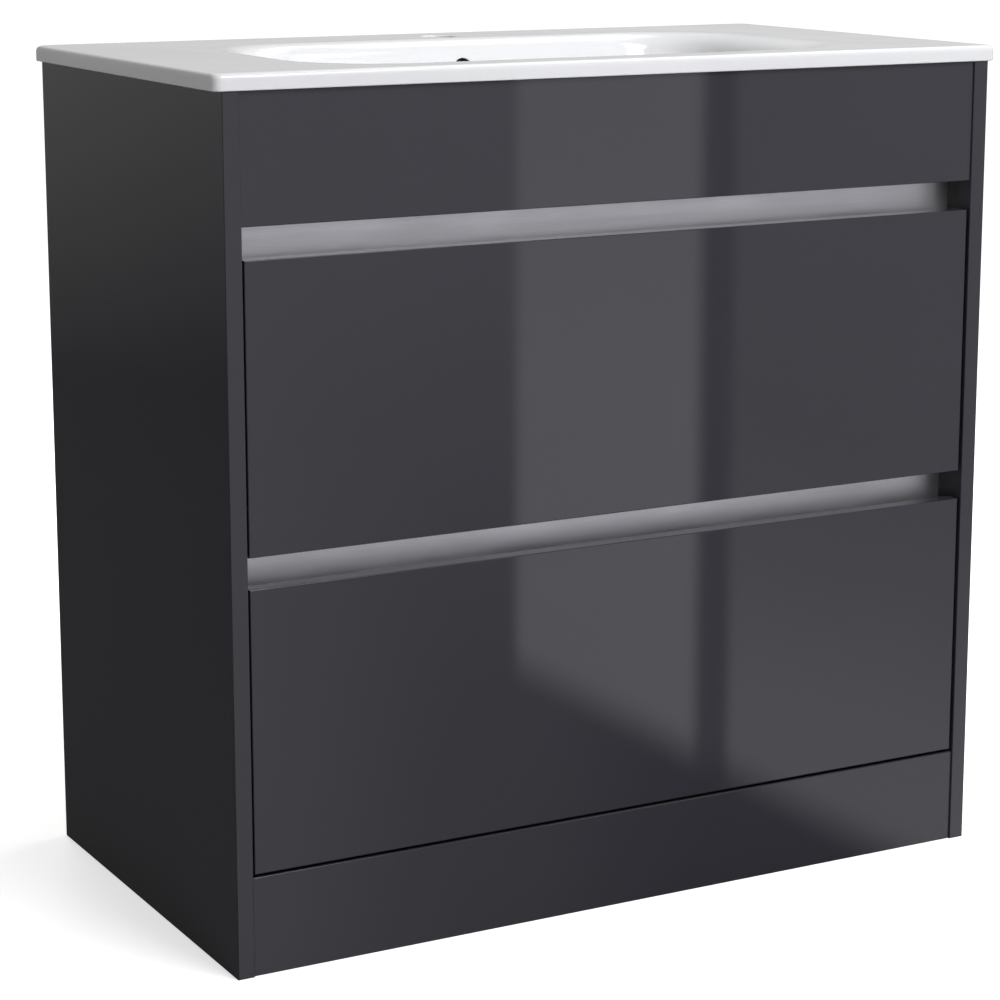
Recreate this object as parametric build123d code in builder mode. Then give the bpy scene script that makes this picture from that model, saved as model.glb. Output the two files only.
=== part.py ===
"""Floor-standing bathroom vanity cabinet with two drawers and a ceramic basin on top.

Millimetres. X runs to the right, Y to the back and Z up. The origin is on the floor, under
the middle of the basin's rectangle. The fronts face -Y.
"""

import os

from build123d import *

os.makedirs("parts", exist_ok=True)

# --- Driving dimensions ---------------------------------------------------------------------

CABINET_WIDTH = 800.0
CABINET_DEPTH = 440.0
CABINET_HEIGHT = 785.0
BOARD = 16.0
EDGE_RADIUS = 0.8

BASIN_SIDE_LIP = 8.0
BASIN_FRONT_LIP = 2.0
BASIN_RIM = 15.0
BASIN_DECK = 10.0

PLINTH_HEIGHT = 92.0
FRONT_RECESS = 2.0
FRONT_GAP = 2.3
FRONT_HEIGHT = 259.0
FINGER_SLOT = 28.5
PLINTH_GAP = 3.0

CHANNEL_SETBACK = 36.6
CHANNEL_WALL = 1.6
CHANNEL_LIP_GAP = 2.0

BOX_HEIGHT = 170.0
BOX_DEPTH = 400.0
BOX_LIFT = 9.0
BOX_BOTTOM = 8.0
BOX_GROOVE = 8.0
BOTTOM_LIFT = 12.0

SLIDE_THICKNESS = 12.7
SLIDE_STEEL = 1.2
SLIDE_SETBACK = 20.0
SLIDE_LENGTH = 400.0
SLIDE_HEIGHT = 60.0
BALL_RADIUS = 1.65

RECESS_WIDTH = 200.0
RECESS_FRONT = 120.0

# --- Worked-out levels and planes -----------------------------------------------------------

BASIN_WIDTH = CABINET_WIDTH + 2 * BASIN_SIDE_LIP
BASIN_DEPTH = CABINET_DEPTH + BASIN_FRONT_LIP
BACK = BASIN_DEPTH / 2
FRONT = BACK - CABINET_DEPTH
TOP = CABINET_HEIGHT + BASIN_RIM
INSIDE = CABINET_WIDTH / 2 - BOARD
BACK_RAIL = 120.0

LOWER_FRONT = PLINTH_HEIGHT + PLINTH_GAP
LOWER_SLOT = LOWER_FRONT + FRONT_HEIGHT
UPPER_FRONT = LOWER_SLOT + FINGER_SLOT
UPPER_SLOT = UPPER_FRONT + FRONT_HEIGHT
FASCIA = UPPER_SLOT + FINGER_SLOT

# A drawer box clears the board or the channel under it.
LOWER_BOX = LOWER_FRONT + BOX_LIFT
UPPER_BOX = UPPER_FRONT + 21.5
BOX_OUTSIDE = INSIDE - SLIDE_THICKNESS
BOX_INSIDE = BOX_OUTSIDE - BOARD

SIDES = {"left": -1, "right": 1}
LEVELS = {"lower": (LOWER_FRONT, LOWER_BOX), "upper": (UPPER_FRONT, UPPER_BOX)}


def behind(depth):
    """Y of a point so far behind the front edges of the side panels."""
    return FRONT + depth


def span(side, inner, outer):
    """X range between two distances from the middle, on the left (-1) or right (1)."""
    return tuple(sorted((side * inner, side * outer)))


# --- Shapes that repeat ---------------------------------------------------------------------


def block(x, y, z, mode=Mode.ADD):
    """A square-edged block between two X, two Y and two Z values."""
    with Locations((x[0], y[0], z[0])):
        Box(x[1] - x[0], y[1] - y[0], z[1] - z[0], align=(Align.MIN,) * 3, mode=mode)


def rod(start, direction, radius, length, mode=Mode.ADD):
    """A round bar or a round hole that starts at a point and runs along a direction."""
    with Locations(Plane(origin=start, z_dir=direction)):
        Cylinder(radius, length, align=(Align.CENTER, Align.CENTER, Align.MIN), mode=mode)


def reach(point, axis, distance):
    """The point at a signed distance along X, Y or Z from another."""
    moved = list(point)
    moved["XYZ".index(axis)] += distance
    return tuple(moved)


def unit(axis, sign):
    """A direction along X, Y or Z."""
    return tuple(sign if name == axis else 0 for name in "XYZ")


def keep(piece, name):
    """Name a finished piece and write it."""
    piece.label = name
    export_step(piece, f"parts/{name}.step")


# --- Fasteners, drawn once with the head's seat at the origin and the shank along -Z ---------

with BuildPart() as pan_screw:
    Cylinder(2.0, 13.0, align=(Align.CENTER, Align.CENTER, Align.MAX))
    Cylinder(3.75, 1.8, align=(Align.CENTER, Align.CENTER, Align.MIN))
    fillet(pan_screw.edges().sort_by(Axis.Z)[-1], 1.1)
    with Locations((0, 0, 1.8)):
        Box(4.4, 0.9, 2.2, mode=Mode.SUBTRACT)
        Box(0.9, 4.4, 2.2, mode=Mode.SUBTRACT)

with BuildPart() as slide_screw:
    Cylinder(2.5, 12.0, align=(Align.CENTER, Align.CENTER, Align.MAX))
    Cylinder(4.0, 1.0, align=(Align.CENTER, Align.CENTER, Align.MIN))
    with Locations((0, 0, 1.0)):
        Box(4.0, 0.9, 1.2, mode=Mode.SUBTRACT)
        Box(0.9, 4.0, 1.2, mode=Mode.SUBTRACT)

CAM_RADIUS = 7.5
CAM_DEPTH = 12.5
CAM_INSET = 34.0
CAM_BOLT = 3.0

with BuildPart() as cam_bolt:
    Cylinder(CAM_BOLT, CAM_INSET - 2.0, align=(Align.CENTER, Align.CENTER, Align.MIN))
    Cylinder(2.5, 10.0, align=(Align.CENTER, Align.CENTER, Align.MAX))
    with Locations((0, 0, CAM_INSET - 6.0)):
        Cylinder(1.7, 2.5, mode=Mode.SUBTRACT)
        Cylinder(1.6, 2.5)

DOWEL_RADIUS = 4.0
DOWEL_LENGTH = 30.0
DOWEL_IN_SIDE = 11.0

# --- Carcass joints: where each board meets both side panels --------------------------------

BASE_MIDDLE = PLINTH_HEIGHT - BOARD / 2
FACE_MIDDLE = behind(FRONT_RECESS + BOARD / 2)
RAIL_MIDDLE = BACK - BOARD / 2
TOP_RAIL = CABINET_HEIGHT - BACK_RAIL
LOW_RAIL = PLINTH_HEIGHT - BOARD

# Board: cam centre lines as (y, z), the axis of the cam, and which way the cam's mouth faces.
CAM_LINES = {
    "base": ([(behind(80), BASE_MIDDLE), (behind(370), BASE_MIDDLE)], "Z", -1),
    "plinth": ([(FACE_MIDDLE, 26.0), (FACE_MIDDLE, 66.0)], "Y", 1),
    "fascia": ([(FACE_MIDDLE, FASCIA + 25.0), (FACE_MIDDLE, FASCIA + 90.0)], "Y", 1),
    "top_rail": ([(RAIL_MIDDLE, TOP_RAIL + 25.0), (RAIL_MIDDLE, TOP_RAIL + 95.0)], "Y", -1),
    "low_rail": ([(RAIL_MIDDLE, LOW_RAIL + 35.0), (RAIL_MIDDLE, LOW_RAIL + 100.0)], "Y", -1),
}
DOWEL_LINES = {
    "base": [(behind(130), BASE_MIDDLE), (behind(320), BASE_MIDDLE)],
    "plinth": [(FACE_MIDDLE, 46.0)],
    "fascia": [(FACE_MIDDLE, FASCIA + 57.5)],
    "top_rail": [(RAIL_MIDDLE, TOP_RAIL + 60.0)],
    "low_rail": [(RAIL_MIDDLE, LOW_RAIL + 67.5)],
}


def cam_seats(board):
    """The mouth point, axis and inward sign of every cam in a board."""
    lines, axis, mouth = CAM_LINES[board]
    for side in SIDES.values():
        for y, z in lines:
            middle = (side * (INSIDE - CAM_INSET), y, z)
            yield side, reach(middle, axis, mouth * BOARD / 2), axis, -mouth


def joint_holes(board):
    """Cut the cam pockets, bolt holes and dowel holes of a board that joins both sides."""
    for side, mouth, axis, inward in cam_seats(board):
        rod(mouth, unit(axis, inward), CAM_RADIUS, CAM_DEPTH, Mode.SUBTRACT)
    for side in SIDES.values():
        for y, z in CAM_LINES[board][0]:
            rod((side * INSIDE, y, z), (-side, 0, 0), CAM_BOLT + 0.5, CAM_INSET, Mode.SUBTRACT)
        for y, z in DOWEL_LINES[board]:
            depth = DOWEL_LENGTH - DOWEL_IN_SIDE
            rod((side * INSIDE, y, z), (-side, 0, 0), DOWEL_RADIUS, depth, Mode.SUBTRACT)


# --- Telescopic slides: section heights from the slide's centre line -------------------------

SLIDE_BEND = 1.0
OUTER_SCREWS = (37.0, 165.0, 325.0)
INNER_SCREWS = (30.0, 180.0, 370.0)
CAGE_HALF = 2.4
CAGE_STEEL = 0.8
BALL_PITCH = 16.0
BALLS = 11


# Member: near and far distance from the side panel, half its height, whether the web is the
# near side, setback, length, and the depths of its screw holes.
SLIDE_MEMBERS = {
    "outer": (0.0, 9.6, 22.75, True, SLIDE_SETBACK, SLIDE_LENGTH, OUTER_SCREWS),
    "middle": (2.6, 11.2, 17.6, True, SLIDE_SETBACK + 5.0, SLIDE_LENGTH - 25.0, ()),
    "inner": (5.2, SLIDE_THICKNESS, 12.5, False, SLIDE_SETBACK, SLIDE_LENGTH, INNER_SCREWS),
}

# Cage: distance of its rows of balls from the slide's centre line and from the side panel,
# and its setback. Each row runs between the flanges of two members.
CAGES = {"outer": (19.575, 6.4, 120.0), "inner": (14.45, 8.3, 125.0)}


def slide_level(box):
    """Height of the centre line of the slides of the drawer box that starts at a level."""
    return box + SLIDE_HEIGHT


def slide_member(level, side, near, far, half, web_near, start, length, screws):
    """A C-section slide member between two distances from the side panel, web corners rolled."""
    middle = side * (INSIDE - (near + far) / 2)
    web = INSIDE - (near if web_near else far)
    opens = -side if web_near else side
    with BuildPart() as member:
        with BuildSketch(Plane.XZ.offset(-behind(start + length))) as section:
            with Locations((middle, level)):
                Rectangle(far - near, 2 * half)
            with Locations((middle + opens * SLIDE_STEEL, level)):
                Rectangle(far - near, 2 * (half - SLIDE_STEEL), mode=Mode.SUBTRACT)
            corners = section.vertices().sort_by(lambda corner: abs(abs(corner.X) - web))[:2]
            fillet(corners, SLIDE_BEND)
        extrude(amount=length)
        for depth in screws:
            rod((side * web, behind(depth), level), (opens, 0, 0), 2.7, SLIDE_STEEL, Mode.SUBTRACT)
    return member.part


def ball_cages(box, rows, x_middle, start):
    """The cage strips of both slides, each with its row of steel balls."""
    level = slide_level(box)
    length = BALL_PITCH * BALLS + 4.0
    with BuildPart() as cages:
        for side in SIDES.values():
            for sign in (-1, 1):
                z = level + sign * rows
                x = side * (INSIDE - x_middle)
                edges = (z - CAGE_STEEL / 2, z + CAGE_STEEL / 2)
                block((x - CAGE_HALF, x + CAGE_HALF), (behind(start), behind(start + length)), edges)
                for step in range(BALLS):
                    with Locations((x, behind(start + 10.0 + step * BALL_PITCH), z)):
                        Sphere(BALL_RADIUS)
    return cages.part


# === Carcass ================================================================================

CHANNEL_LEVELS = {"upper": UPPER_SLOT, "lower": LOWER_SLOT}
BRACKET_STEEL = 1.6
BRACKET_LEG = 25.0
BRACKET_HEIGHT = 22.0
RIVET = 2.0
CHANNEL_BACK = behind(CHANNEL_SETBACK + CHANNEL_WALL)
WALL_BRACKET = 40.0
WALL_BRACKET_LEVEL = 600.0
WALL_BRACKET_STEEL = 2.5
WALL_HOLE = 3.5
WALL_HOLE_INSET = 22.0


def bracket_level(slot):
    """Height of the middle of a channel's end brackets, below where the slot is seen into."""
    return slot - 13.0


def bracket_screw_points(side):
    """Where the screw of each channel's end bracket enters the side panel."""
    for slot in CHANNEL_LEVELS.values():
        yield side * INSIDE, CHANNEL_BACK + BRACKET_LEG - 9.0, bracket_level(slot)


def rivet_points(side):
    """Where a rivet holds each channel to its end bracket, on the back of the channel."""
    for slot in CHANNEL_LEVELS.values():
        yield side * (INSIDE - 14.0), CHANNEL_BACK, bracket_level(slot)


def wall_screw_points(side):
    """Where the two screws of a wall bracket enter the side panel."""
    for rise in (10.0, 30.0):
        yield side * INSIDE, BACK - WALL_BRACKET + 12.0, WALL_BRACKET_LEVEL + rise


for side_name, side in SIDES.items():
    with BuildPart() as side_panel:
        block(span(side, INSIDE, INSIDE + BOARD), (FRONT, BACK), (0, CABINET_HEIGHT))
        fillet(side_panel.faces().sort_by(Axis.Y)[0].edges(), EDGE_RADIUS)
        inward = (side, 0, 0)
        for board in CAM_LINES:
            for y, z in CAM_LINES[board][0]:
                rod((side * INSIDE, y, z), inward, 2.5, 10.0, Mode.SUBTRACT)
            for y, z in DOWEL_LINES[board]:
                rod((side * INSIDE, y, z), inward, DOWEL_RADIUS, DOWEL_IN_SIDE, Mode.SUBTRACT)
        for box in (LOWER_BOX, UPPER_BOX):
            for depth in OUTER_SCREWS:
                at = (side * INSIDE, behind(depth), slide_level(box))
                rod(at, inward, 2.5, 12.0 - SLIDE_STEEL, Mode.SUBTRACT)
        for at in bracket_screw_points(side):
            rod(at, inward, 2.0, 13.0 - BRACKET_STEEL, Mode.SUBTRACT)
        for at in wall_screw_points(side):
            rod(at, inward, 2.0, 13.0 - WALL_BRACKET_STEEL, Mode.SUBTRACT)
    keep(side_panel.part, f"side_panel_{side_name}")

with BuildPart() as base_panel:
    rear = BACK - BOARD
    block((-INSIDE, INSIDE), (behind(FRONT_RECESS + BOARD), rear), (LOW_RAIL, PLINTH_HEIGHT))
    joint_holes("base")
keep(base_panel.part, "base_panel")

with BuildPart() as plinth_panel:
    face = (behind(FRONT_RECESS), behind(FRONT_RECESS + BOARD))
    block((-INSIDE, INSIDE), face, (0, PLINTH_HEIGHT))
    fillet(plinth_panel.faces().sort_by(Axis.Y)[0].edges().filter_by(Axis.X), EDGE_RADIUS)
    joint_holes("plinth")
keep(plinth_panel.part, "plinth_panel")

with BuildPart() as fascia_panel:
    face = (behind(FRONT_RECESS), behind(FRONT_RECESS + BOARD))
    block((-INSIDE, INSIDE), face, (FASCIA, CABINET_HEIGHT))
    fillet(fascia_panel.faces().sort_by(Axis.Y)[0].edges().filter_by(Axis.X), EDGE_RADIUS)
    joint_holes("fascia")
keep(fascia_panel.part, "fascia_panel")

for rail_name, board, low in (("top", "top_rail", TOP_RAIL), ("bottom", "low_rail", LOW_RAIL)):
    with BuildPart() as back_rail:
        block((-INSIDE, INSIDE), (BACK - BOARD, BACK), (low, low + BACK_RAIL))
        joint_holes(board)
    keep(back_rail.part, f"back_rail_{rail_name}")

with BuildPart() as cam_locks:
    for board in CAM_LINES:
        for side, mouth, axis, inward in cam_seats(board):
            rod(mouth, unit(axis, inward), CAM_RADIUS, CAM_DEPTH)
            with Locations(mouth):
                slot = [1.6 if name == axis else 9.0 for name in "XYZ"]
                slot["XYZ".index("Z" if axis == "Y" else "Y")] = 1.6
                Box(*slot, mode=Mode.SUBTRACT)
            middle = reach(mouth, axis, (1 if inward > 0 else -1) * BOARD / 2)
            rod(reach(middle, "X", side * CAM_RADIUS), (-side, 0, 0), 3.5, 9.0, Mode.SUBTRACT)
keep(cam_locks.part, "cam_locks")

with BuildPart() as cam_bolts:
    for board in CAM_LINES:
        for side in SIDES.values():
            for y, z in CAM_LINES[board][0]:
                with Locations(Plane(origin=(side * INSIDE, y, z), z_dir=(-side, 0, 0))):
                    add(cam_bolt.part)
keep(cam_bolts.part, "cam_bolts")

with BuildPart() as carcass_dowels:
    for board in DOWEL_LINES:
        for side in SIDES.values():
            for y, z in DOWEL_LINES[board]:
                start = (side * (INSIDE + DOWEL_IN_SIDE), y, z)
                rod(start, (-side, 0, 0), DOWEL_RADIUS, DOWEL_LENGTH)
keep(carcass_dowels.part, "carcass_dowels")

# --- Finger channels: a C-section that opens forwards behind each slot ------------------------

CHANNEL_FRONT = behind(FRONT_RECESS + BOARD + CHANNEL_LIP_GAP)
POCKET_BELOW = 26.0
POCKET_ABOVE = 12.0
CHANNEL_RETURN = 6.0
CHANNEL_BEND = 3.0

for level_name, slot in CHANNEL_LEVELS.items():
    low = slot - POCKET_BELOW
    high = slot + FINGER_SLOT + POCKET_ABOVE
    middle = ((CHANNEL_FRONT + CHANNEL_BACK) / 2, (low + high) / 2)
    with BuildPart() as finger_channel:
        with BuildSketch(Plane.YZ.offset(-INSIDE)):
            with Locations(middle):
                RectangleRounded(CHANNEL_BACK - CHANNEL_FRONT, high - low, CHANNEL_BEND + CHANNEL_WALL)
                RectangleRounded(
                    CHANNEL_BACK - CHANNEL_FRONT - 2 * CHANNEL_WALL,
                    high - low - 2 * CHANNEL_WALL,
                    CHANNEL_BEND,
                    mode=Mode.SUBTRACT,
                )
            with Locations((CHANNEL_FRONT, middle[1])):
                Rectangle(2 * CHANNEL_WALL + 0.4, high - low - 2 * CHANNEL_RETURN, mode=Mode.SUBTRACT)
        extrude(amount=2 * INSIDE)
        for side in SIDES.values():
            for at in rivet_points(side):
                rod(at, (0, -1, 0), RIVET, CHANNEL_WALL, Mode.SUBTRACT)
    keep(finger_channel.part, f"finger_channel_{level_name}")

with BuildPart() as channel_brackets:
    for slot in CHANNEL_LEVELS.values():
        middle = bracket_level(slot)
        z = (middle - BRACKET_HEIGHT / 2, middle + BRACKET_HEIGHT / 2)
        for side in SIDES.values():
            leg = span(side, INSIDE - BRACKET_STEEL, INSIDE)
            block(leg, (CHANNEL_BACK, CHANNEL_BACK + BRACKET_LEG), z)
            leg = span(side, INSIDE - BRACKET_LEG, INSIDE)
            block(leg, (CHANNEL_BACK, CHANNEL_BACK + BRACKET_STEEL), z)
    for side in SIDES.values():
        for at in bracket_screw_points(side):
            rod(at, (-side, 0, 0), 2.0, BRACKET_STEEL, Mode.SUBTRACT)
        for at in rivet_points(side):
            rod(at, (0, 1, 0), RIVET, BRACKET_STEEL, Mode.SUBTRACT)
keep(channel_brackets.part, "channel_brackets")

# Each bracket has one screw into the side panel and one blind rivet into the thin channel.
with BuildPart() as channel_screws:
    for side in SIDES.values():
        for x, y, z in bracket_screw_points(side):
            seat = (x - side * BRACKET_STEEL, y, z)
            with Locations(Plane(origin=seat, z_dir=(-side, 0, 0))):
                add(pan_screw.part)
        for at in rivet_points(side):
            head = reach(at, "Y", BRACKET_STEEL)
            rod(head, (0, -1, 0), RIVET, BRACKET_STEEL + CHANNEL_WALL)
            rod(head, (0, 1, 0), 3.4, 1.2)
keep(channel_screws.part, "channel_screws")

# --- Wall brackets ----------------------------------------------------------------------------

for side_name, side in SIDES.items():
    z = (WALL_BRACKET_LEVEL, WALL_BRACKET_LEVEL + WALL_BRACKET)
    with BuildPart() as wall_bracket:
        leg = span(side, INSIDE - WALL_BRACKET_STEEL, INSIDE)
        block(leg, (BACK - WALL_BRACKET, BACK), z)
        block(span(side, INSIDE - WALL_BRACKET, INSIDE), (BACK - WALL_BRACKET_STEEL, BACK), z)
        bend = wall_bracket.edges().filter_by(Axis.Z).sort_by(lambda edge: side * edge.center().X)
        fillet(bend.group_by(Axis.Y)[-1].sort_by(lambda edge: side * edge.center().X)[-1], 2.0)
        for x, y, height in wall_screw_points(side):
            rod((x, y, height), (-side, 0, 0), 2.0, WALL_BRACKET_STEEL, Mode.SUBTRACT)
        at = (side * (INSIDE - WALL_HOLE_INSET), BACK, WALL_BRACKET_LEVEL + WALL_BRACKET / 2)
        rod(at, (0, -1, 0), WALL_HOLE, WALL_BRACKET_STEEL, Mode.SUBTRACT)
    keep(wall_bracket.part, f"wall_bracket_{side_name}")

with BuildPart() as wall_bracket_screws:
    for side in SIDES.values():
        for x, y, z in wall_screw_points(side):
            seat = (x - side * WALL_BRACKET_STEEL, y, z)
            with Locations(Plane(origin=seat, z_dir=(-side, 0, 0))):
                add(pan_screw.part)
keep(wall_bracket_screws.part, "wall_bracket_screws")

# === Basin ==================================================================================

BOWL_CENTRE = behind(193.0)
BOWL_WALL = 12.0
WASTE_RADIUS = 23.0
WASTE_CENTRE = BOWL_CENTRE + 8.0
WASTE_BOTTOM = 672.0
WASTE_SEAT_RADIUS = 33.0
TAP_RADIUS = 17.5
TAP_CENTRE = behind(380.0)
OVERFLOW_RADIUS = 10.0
OVERFLOW_LEVEL = TOP - 29.0
DUCT_HALF = 14.0
DUCT_FRONT = BOWL_CENTRE + 152.0
DUCT_DEPTH = 8.0

# Height, half-width, half-depth and corner radius of the bowl from its lip to its floor.
BOWL_LEVELS = (
    (TOP + 0.5, 279.0, 147.5, 62.0),
    (TOP - 12.0, 271.0, 141.5, 66.0),
    (TOP - 40.0, 252.0, 131.0, 72.0),
    (TOP - 70.0, 222.0, 113.0, 74.0),
    (TOP - 90.0, 178.0, 88.0, 66.0),
    (TOP - 98.0, 110.0, 56.0, 48.0),
)


def bowl_form(grow, drop, mode):
    """Loft the bowl through its levels, widened and lowered for the outside of the wall."""
    with BuildPart(mode=Mode.PRIVATE) as form:
        for height, half_width, half_depth, corner in BOWL_LEVELS:
            with BuildSketch(Plane.XY.offset(height - drop)):
                with Locations((0, BOWL_CENTRE)):
                    RectangleRounded(2 * (half_width + grow), 2 * (half_depth + grow), corner + grow)
        loft()
    add(form.part, mode=mode)


with BuildPart() as basin:
    with BuildSketch(Plane.XY.offset(CABINET_HEIGHT)):
        RectangleRounded(BASIN_WIDTH, BASIN_DEPTH, 8.0)
    extrude(amount=BASIN_RIM)
    rim_top = basin.faces().sort_by(Axis.Z)[-1].edges()
    fillet(rim_top, 3.5)
    rim_bottom = basin.faces().sort_by(Axis.Z)[0].edges()
    fillet(rim_bottom, 1.5)
    with BuildSketch(Plane.XY.offset(CABINET_HEIGHT)):
        RectangleRounded(BASIN_WIDTH - 56.0, BASIN_DEPTH - 48.0, 10.0)
    extrude(amount=BASIN_RIM - BASIN_DECK, mode=Mode.SUBTRACT)
    bowl_form(BOWL_WALL, BOWL_WALL, Mode.ADD)
    shoulder = (BOWL_CENTRE + 60.0, DUCT_FRONT + DUCT_DEPTH + 7.0)
    block((-DUCT_HALF - 10, DUCT_HALF + 10), shoulder, (WASTE_BOTTOM, TOP - BASIN_DECK))
    block((-DUCT_HALF - 10, DUCT_HALF + 10), (WASTE_CENTRE, shoulder[0]), (WASTE_BOTTOM, 700.0))
    rod((0, WASTE_CENTRE, WASTE_BOTTOM), (0, 0, 1), WASTE_RADIUS + 15.0, 40.0)
    bowl_form(0.0, 0.0, Mode.SUBTRACT)
    rod((0, WASTE_CENTRE, WASTE_BOTTOM), (0, 0, 1), WASTE_RADIUS, 60.0, Mode.SUBTRACT)
    waste_seat = TOP - 98.0 - 3.0
    rod((0, WASTE_CENTRE, waste_seat), (0, 0, 1), WASTE_SEAT_RADIUS, 20.0, Mode.SUBTRACT)
    rod((0, TAP_CENTRE, CABINET_HEIGHT), (0, 0, 1), TAP_RADIUS, 20.0, Mode.SUBTRACT)
    duct = (DUCT_FRONT, DUCT_FRONT + DUCT_DEPTH)
    start = (0, BOWL_CENTRE + 110.0, OVERFLOW_LEVEL)
    rod(start, (0, 1, 0), OVERFLOW_RADIUS, DUCT_FRONT - BOWL_CENTRE - 110.0, Mode.SUBTRACT)
    block((-DUCT_HALF, DUCT_HALF), duct, (WASTE_BOTTOM + 8, OVERFLOW_LEVEL + 12), Mode.SUBTRACT)
    run = (WASTE_CENTRE, duct[1])
    block((-DUCT_HALF, DUCT_HALF), run, (WASTE_BOTTOM + 8, WASTE_BOTTOM + 16), Mode.SUBTRACT)
keep(basin.part, "basin")

# === Slides =================================================================================

for level_name, (front, box) in LEVELS.items():
    level = slide_level(box)
    for side_name, side in SIDES.items():
        for member, sizes in SLIDE_MEMBERS.items():
            piece = slide_member(level, side, *sizes)
            keep(piece, f"{level_name}_slide_{member}_{side_name}")
    for cage, (rows, x_middle, start) in CAGES.items():
        keep(ball_cages(box, rows, x_middle, start), f"{level_name}_cages_{cage}")

with BuildPart() as slide_screws:
    for front, box in LEVELS.values():
        for side in SIDES.values():
            for depth in OUTER_SCREWS:
                seat = (side * (INSIDE - SLIDE_STEEL), behind(depth), slide_level(box))
                with Locations(Plane(origin=seat, z_dir=(-side, 0, 0))):
                    add(slide_screw.part)
keep(slide_screws.part, "slide_screws")

# === Drawers ================================================================================

REAR_FACE = behind(FRONT_RECESS + BOARD)
BOX_REAR = REAR_FACE + BOX_DEPTH
RECESS_OUT = RECESS_WIDTH / 2 + BOARD
RECESS_BOARD = behind(RECESS_FRONT)
CORNER_LEG = 30.0
CORNER_STEEL = 2.0
CORNER_RISE = 22.0
CORNER_HEIGHT = 120.0
CORNER_SCREWS = (18.0, 102.0)
BOX_SCREW_LEVELS = (28.0, 140.0)
BOX_SCREW = 1.9
BOX_SCREW_LENGTH = 45.0


def drawer_front(name, level):
    """The gloss front board, set between the side panels with a gap at each end."""
    half = INSIDE - FRONT_GAP
    with BuildPart() as piece:
        block((-half, half), (behind(FRONT_RECESS), REAR_FACE), (level, level + FRONT_HEIGHT))
        fillet(piece.faces().sort_by(Axis.Y)[0].edges(), EDGE_RADIUS)
        fillet(piece.faces().sort_by(Axis.Y)[-1].edges().filter_by(Axis.X), EDGE_RADIUS)
        box = LEVELS[name][1]
        for side in SIDES.values():
            for rise in CORNER_SCREWS:
                at = (side * (BOX_INSIDE - 18.0), REAR_FACE, box + CORNER_RISE + rise)
                rod(at, (0, -1, 0), 2.0, 13.0 - CORNER_STEEL, Mode.SUBTRACT)
    keep(piece.part, f"{name}_drawer_front")


def drawer_side(name, box, side_name, side):
    """A side board with the groove for the bottom and the pilot holes of its screws."""
    with BuildPart() as piece:
        block(span(side, BOX_INSIDE, BOX_OUTSIDE), (REAR_FACE, BOX_REAR), (box, box + BOX_HEIGHT))
        fillet(piece.faces().sort_by(Axis.Z)[-1].edges().filter_by(Axis.Y), EDGE_RADIUS)
        groove = span(side, BOX_INSIDE, BOX_INSIDE + BOX_GROOVE)
        bottom = (box + BOTTOM_LIFT, box + BOTTOM_LIFT + BOX_BOTTOM)
        block(groove, (REAR_FACE, BOX_REAR), bottom, Mode.SUBTRACT)
        for depth in INNER_SCREWS:
            at = (side * BOX_OUTSIDE, behind(depth), slide_level(box))
            rod(at, (-side, 0, 0), 2.5, 12.0 - SLIDE_STEEL, Mode.SUBTRACT)
        for rise in CORNER_SCREWS:
            at = (side * BOX_INSIDE, REAR_FACE + 18.0, box + CORNER_RISE + rise)
            rod(at, (side, 0, 0), 2.0, 13.0 - CORNER_STEEL, Mode.SUBTRACT)
        for rise in BOX_SCREW_LEVELS:
            at = (side * BOX_OUTSIDE, BOX_REAR - BOARD / 2, box + rise)
            rod(at, (-side, 0, 0), BOX_SCREW, BOARD, Mode.SUBTRACT)
    keep(piece.part, f"{name}_drawer_side_{side_name}")


def screw_lines(box, recess):
    """Start and direction of every long screw that pulls the boards of a box together."""
    for side in SIDES.values():
        for rise in BOX_SCREW_LEVELS:
            z = box + rise
            yield (side * BOX_OUTSIDE, BOX_REAR - BOARD / 2, z), (-side, 0, 0)
            if recess:
                inner = side * (RECESS_OUT - BOARD)
                yield (inner, BOX_REAR - BOARD / 2, z), (side, 0, 0)
                middle = side * (RECESS_OUT - BOARD / 2)
                yield (middle, RECESS_BOARD - BOARD, z), (0, 1, 0)


def box_screw_holes(box, recess):
    """Cut every long screw's hole through the board being made."""
    for start, direction in screw_lines(box, recess):
        rod(start, direction, BOX_SCREW, BOX_SCREW_LENGTH, Mode.SUBTRACT)


def drawer_backs(name, box, recess):
    """The back board, or the two short ones each side of the trap recess."""
    z = (box + BOTTOM_LIFT + BOX_BOTTOM, box + BOX_HEIGHT)
    y = (BOX_REAR - BOARD, BOX_REAR)
    if not recess:
        with BuildPart() as piece:
            block((-BOX_INSIDE, BOX_INSIDE), y, z)
            box_screw_holes(box, recess)
        keep(piece.part, f"{name}_drawer_back")
        return
    for side_name, side in SIDES.items():
        with BuildPart() as piece:
            block(span(side, RECESS_OUT, BOX_INSIDE), y, z)
            box_screw_holes(box, recess)
        keep(piece.part, f"{name}_drawer_back_{side_name}")


def drawer_bottom(name, box, recess):
    """The thin bottom in its grooves, notched where the trap recess comes in."""
    half = BOX_INSIDE + BOX_GROOVE
    z = (box + BOTTOM_LIFT, box + BOTTOM_LIFT + BOX_BOTTOM)
    with BuildPart() as piece:
        block((-half, half), (REAR_FACE, BOX_REAR), z)
        if recess:
            notch = RECESS_WIDTH / 2
            block((-notch, notch), (RECESS_BOARD, BOX_REAR), z, Mode.SUBTRACT)
    keep(piece.part, f"{name}_drawer_bottom")


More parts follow.
